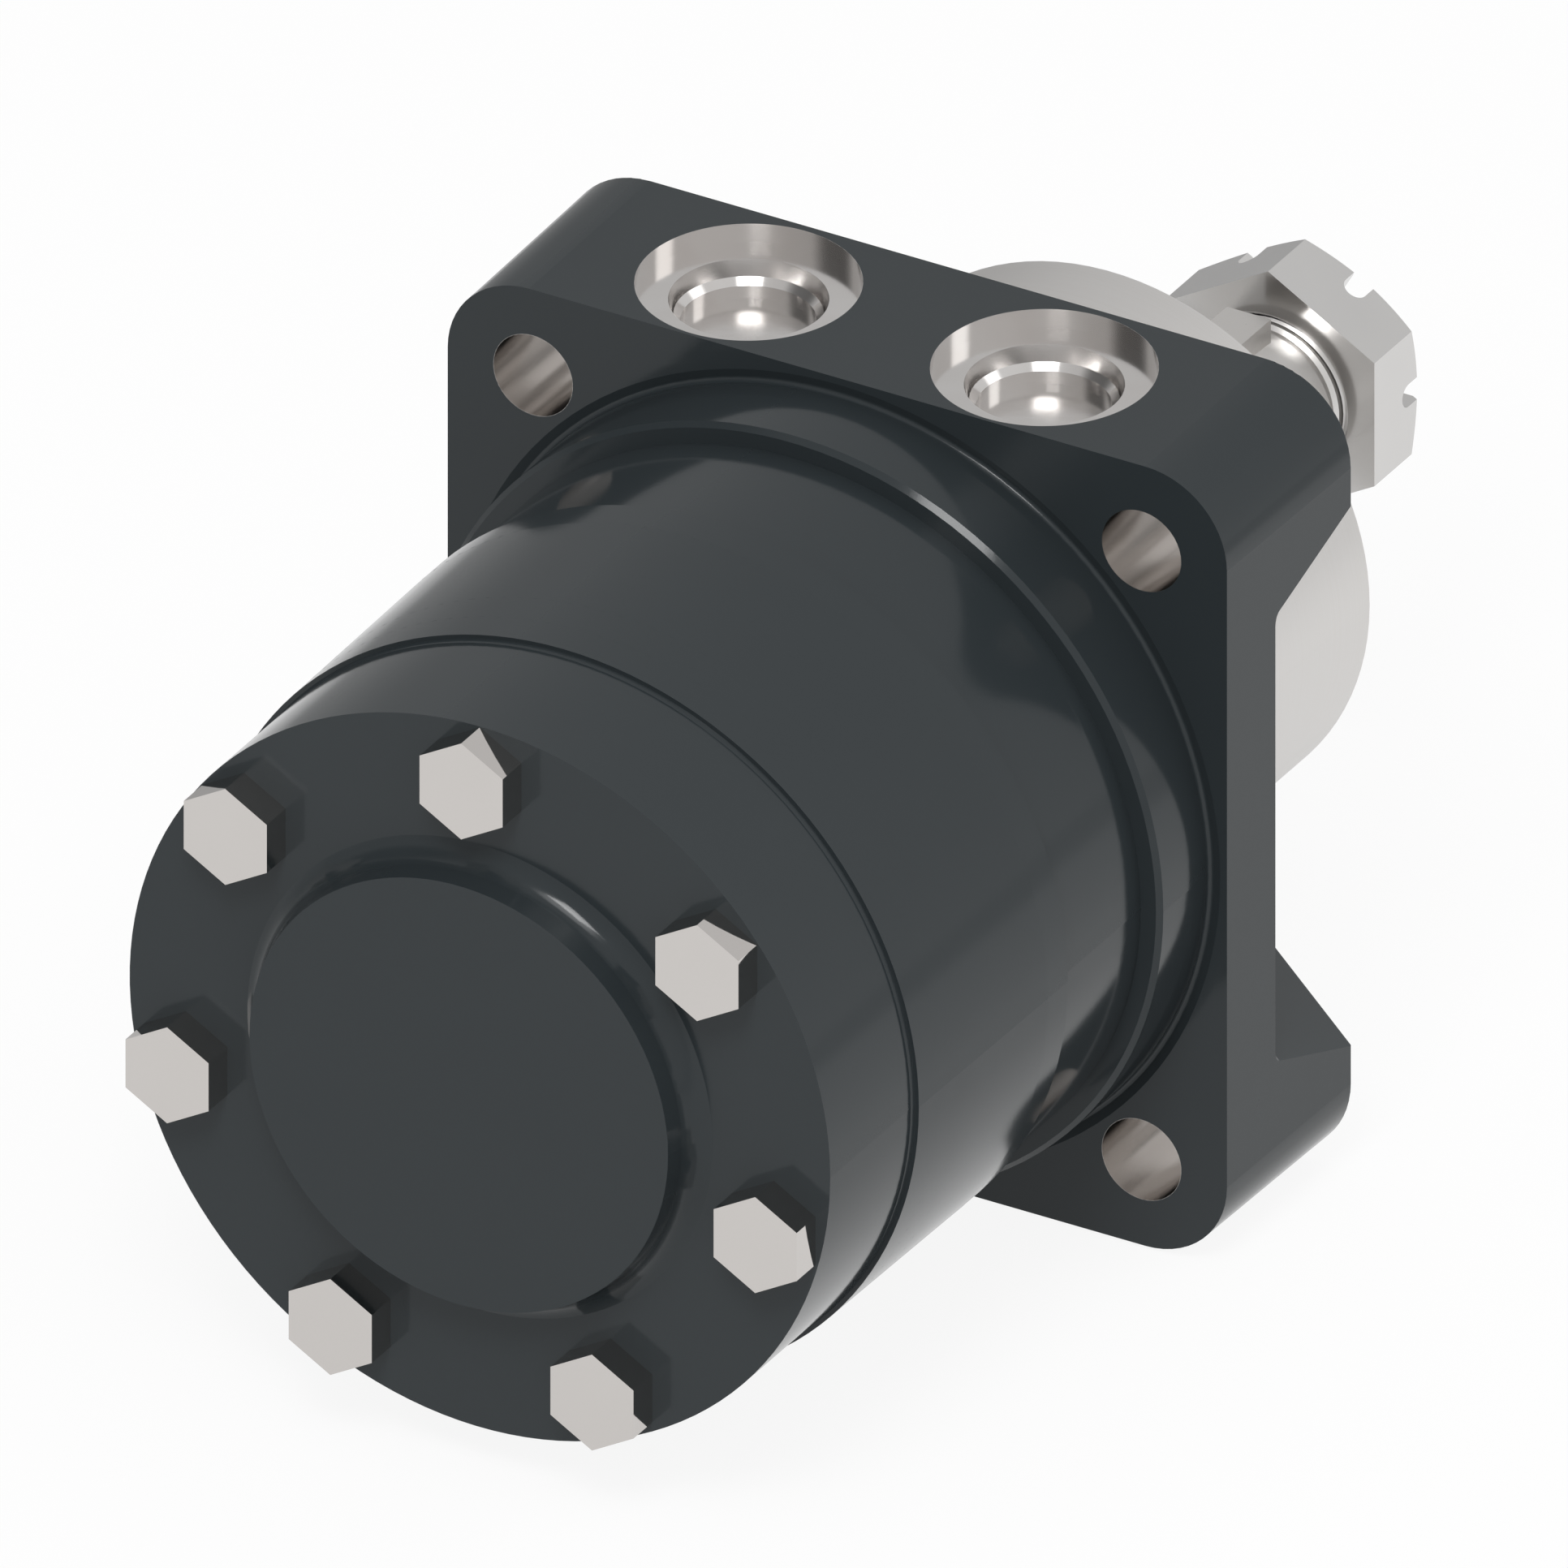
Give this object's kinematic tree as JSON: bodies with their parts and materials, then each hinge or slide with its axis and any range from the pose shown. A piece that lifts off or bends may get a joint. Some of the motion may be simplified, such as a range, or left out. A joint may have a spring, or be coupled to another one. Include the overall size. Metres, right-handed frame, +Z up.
{
  "type": "orbital hydraulic motor",
  "caption": "Orbital roller-gear hydraulic motor with a square wheel-mount flange, side-by-side ports, a bolted end cover and a keyed tapered shaft with a slotted nut.",
  "frame": {"origin": "on the motor axis, in the mounting face of the flange, at the root of the pilot", "axes": "+Y along the motor axis towards the output shaft, +X across the flange, +Z up, the way the ports face"},
  "size_m": [0.1348, 0.2555, 0.1348],
  "materials": {
    "dark_paint": "gloss",
    "bolt_steel": "satin",
    "ground_steel": "ground",
    "shaft_steel": "ground",
    "key_steel": "satin",
    "nut_steel": "satin",
    "spring_steel": "dark oxide",
    "cage_steel": "pressed",
    "seal_rubber": "matte",
    "filled_ptfe": "matte"
  },
  "bodies": {
    "housing": {"housing": "dark_paint", "wear_plate": "dark_paint", "stator_ring": "dark_paint", "manifold_plate": "dark_paint", "port_plate": "dark_paint", "end_cover": "dark_paint", "cover_bolts": "bolt_steel", "seal_housing_side": "seal_rubber", "seal_stator_front": "seal_rubber", "seal_stator_rear": "seal_rubber", "seal_port_plate": "seal_rubber", "seal_cover": "seal_rubber", "rear_bearing_race": "ground_steel", "front_bearing_race": "ground_steel", "thrust_washer_housing": "ground_steel", "seal_backup_washer": "ground_steel", "shaft_seal": "seal_rubber", "snap_ring": "spring_steel", "wiper_seal": "seal_rubber"},
    "shaft": {"output_shaft": "shaft_steel", "shaft_key": "key_steel", "slotted_nut": "nut_steel", "thrust_washer_shaft": "ground_steel"},
    "commutator": {"commutator": "ground_steel", "commutator_seal": "filled_ptfe"},
    "rotor": {"rotor": "ground_steel"},
    "link": {"drive_link": "ground_steel"},
    "rear_cage": {"rear_bearing_cage": "cage_steel", "rear_bearing_needles": "ground_steel"},
    "front_cage": {"front_bearing_cage": "cage_steel", "front_bearing_needles": "ground_steel"},
    "thrust_cage": {"thrust_bearing_cage": "cage_steel", "thrust_bearing_needles": "ground_steel"},
    "roller_1": {"stator_roller_1": "ground_steel"},
    "roller_2": {"stator_roller_2": "ground_steel"},
    "roller_3": {"stator_roller_3": "ground_steel"},
    "roller_4": {"stator_roller_4": "ground_steel"},
    "roller_5": {"stator_roller_5": "ground_steel"},
    "roller_6": {"stator_roller_6": "ground_steel"},
    "roller_7": {"stator_roller_7": "ground_steel"}
  },
  "joints": [
    {"name": "shaft_spin", "type": "hinge", "parent": "housing", "child": "shaft", "pos_m": [0, 0, 0], "axis": [0, -1, 0], "continuous": true},
    {"name": "commutator_orbit", "type": "hinge", "parent": "housing", "child": "commutator", "pos_m": [0, -0.08775, 0], "axis": [0, -1, 0], "continuous": true},
    {"name": "rotor_spin", "type": "hinge", "parent": "commutator", "child": "rotor", "pos_m": [0, -0.0565, 0.003], "axis": [0, -1, 0], "continuous": true},
    {"name": "link_spin", "type": "hinge", "parent": "commutator", "child": "link", "pos_m": [0, -0.002, 0], "axis": [0, -0.9985, 0.055], "continuous": true},
    {"name": "rear_cage_spin", "type": "hinge", "parent": "housing", "child": "rear_cage", "pos_m": [0, -0.0235, 0], "axis": [0, -1, 0], "continuous": true},
    {"name": "front_cage_spin", "type": "hinge", "parent": "housing", "child": "front_cage", "pos_m": [0, 0.0515, 0], "axis": [0, -1, 0], "continuous": true},
    {"name": "thrust_cage_spin", "type": "hinge", "parent": "housing", "child": "thrust_cage", "pos_m": [0, 0.03255, 0], "axis": [0, -1, 0], "continuous": true},
    {"name": "roller_1_spin", "type": "hinge", "parent": "housing", "child": "roller_1", "pos_m": [-0.01605, -0.0565, 0.03334], "axis": [0, -1, 0], "continuous": true},
    {"name": "roller_2_spin", "type": "hinge", "parent": "housing", "child": "roller_2", "pos_m": [-0.03607, -0.0565, 0.00823], "axis": [0, -1, 0], "continuous": true},
    {"name": "roller_3_spin", "type": "hinge", "parent": "housing", "child": "roller_3", "pos_m": [-0.02893, -0.0565, -0.02307], "axis": [0, -1, 0], "continuous": true},
    {"name": "roller_4_spin", "type": "hinge", "parent": "housing", "child": "roller_4", "pos_m": [0, -0.0565, -0.037], "axis": [0, -1, 0], "continuous": true},
    {"name": "roller_5_spin", "type": "hinge", "parent": "housing", "child": "roller_5", "pos_m": [0.02893, -0.0565, -0.02307], "axis": [0, -1, 0], "continuous": true},
    {"name": "roller_6_spin", "type": "hinge", "parent": "housing", "child": "roller_6", "pos_m": [0.03607, -0.0565, 0.00823], "axis": [0, -1, 0], "continuous": true},
    {"name": "roller_7_spin", "type": "hinge", "parent": "housing", "child": "roller_7", "pos_m": [0.01605, -0.0565, 0.03334], "axis": [0, -1, 0], "continuous": true}
  ],
  "couplings": [
    {"joint": "commutator_orbit", "follows": "shaft_spin", "ratio": -6},
    {"joint": "rotor_spin", "follows": "shaft_spin", "ratio": 7},
    {"joint": "link_spin", "follows": "shaft_spin", "ratio": 7},
    {"joint": "rear_cage_spin", "follows": "shaft_spin", "ratio": 0.46875},
    {"joint": "front_cage_spin", "follows": "shaft_spin", "ratio": 0.45833},
    {"joint": "thrust_cage_spin", "follows": "shaft_spin", "ratio": 0.5}
  ]
}
